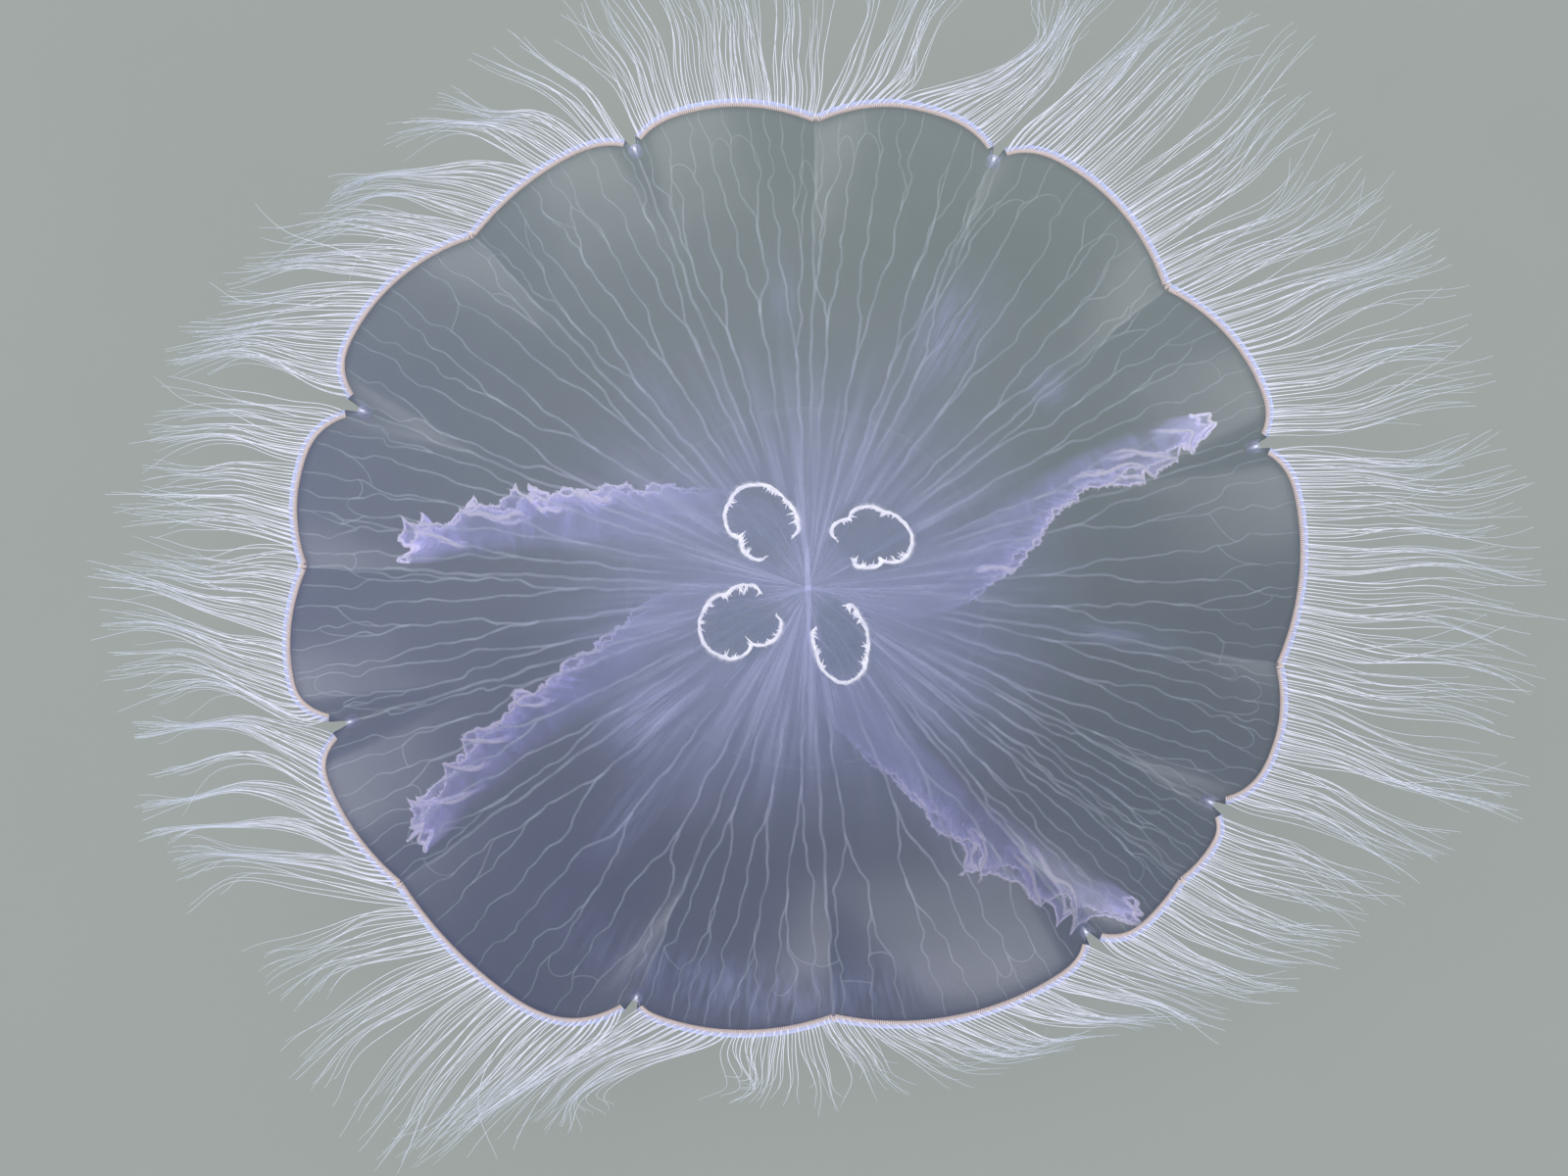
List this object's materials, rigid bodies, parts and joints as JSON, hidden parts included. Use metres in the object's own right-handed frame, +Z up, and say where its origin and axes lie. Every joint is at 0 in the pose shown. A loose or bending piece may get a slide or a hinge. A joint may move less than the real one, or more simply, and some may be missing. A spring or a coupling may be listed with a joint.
{
  "type": "moon jellyfish display model",
  "caption": "Translucent saucer-shaped jellyfish with a scalloped, tentacled edge, horseshoe gonads and frilled arms, held bell up on a clear stand.",
  "frame": {"origin": "centre of the underside of the stand's base, straight below the mouth", "axes": "+Z up through the mouth to the crown of the bell; +X towards the lobe between sense organs 8 and 1, +Y towards the lobe between sense organs 1 and 2"},
  "size_m": [0.4103, 0.34, 0.146],
  "materials": {
    "jelly": "wet translucent blue-grey jelly",
    "veil": "thin milky lilac tissue with whiter frilled edges",
    "thread": "fine translucent white threads",
    "gonad": "opaque milky white",
    "sense_organ": "glistening white",
    "clear_acrylic": "polished clear acrylic"
  },
  "bodies": {
    "root": {"bell_crown": "jelly", "bell_lobe_1": "jelly", "tentacles_1": "thread", "sense_organ_1": "sense_organ", "bell_lobe_2": "jelly", "tentacles_2": "thread", "sense_organ_2": "sense_organ", "bell_lobe_3": "jelly", "tentacles_3": "thread", "sense_organ_3": "sense_organ", "bell_lobe_4": "jelly", "tentacles_4": "thread", "sense_organ_4": "sense_organ", "bell_lobe_5": "jelly", "tentacles_5": "thread", "sense_organ_5": "sense_organ", "bell_lobe_6": "jelly", "tentacles_6": "thread", "sense_organ_6": "sense_organ", "bell_lobe_7": "jelly", "tentacles_7": "thread", "sense_organ_7": "sense_organ", "bell_lobe_8": "jelly", "tentacles_8": "thread", "sense_organ_8": "sense_organ", "gonad_1": "gonad", "gonad_2": "gonad", "gonad_3": "gonad", "gonad_4": "gonad", "mouth_stalk": "veil", "oral_arm_north_root": "veil", "oral_arm_north_middle": "veil", "oral_arm_north_tip": "veil", "oral_arm_west_root": "veil", "oral_arm_west_middle": "veil", "oral_arm_west_tip": "veil", "oral_arm_south_root": "veil", "oral_arm_south_middle": "veil", "oral_arm_south_tip": "veil", "oral_arm_east_root": "veil", "oral_arm_east_middle": "veil", "oral_arm_east_tip": "veil", "stand_base": "clear_acrylic", "stand_collar": "clear_acrylic", "stand_rod": "clear_acrylic"}
  },
  "joints": []
}
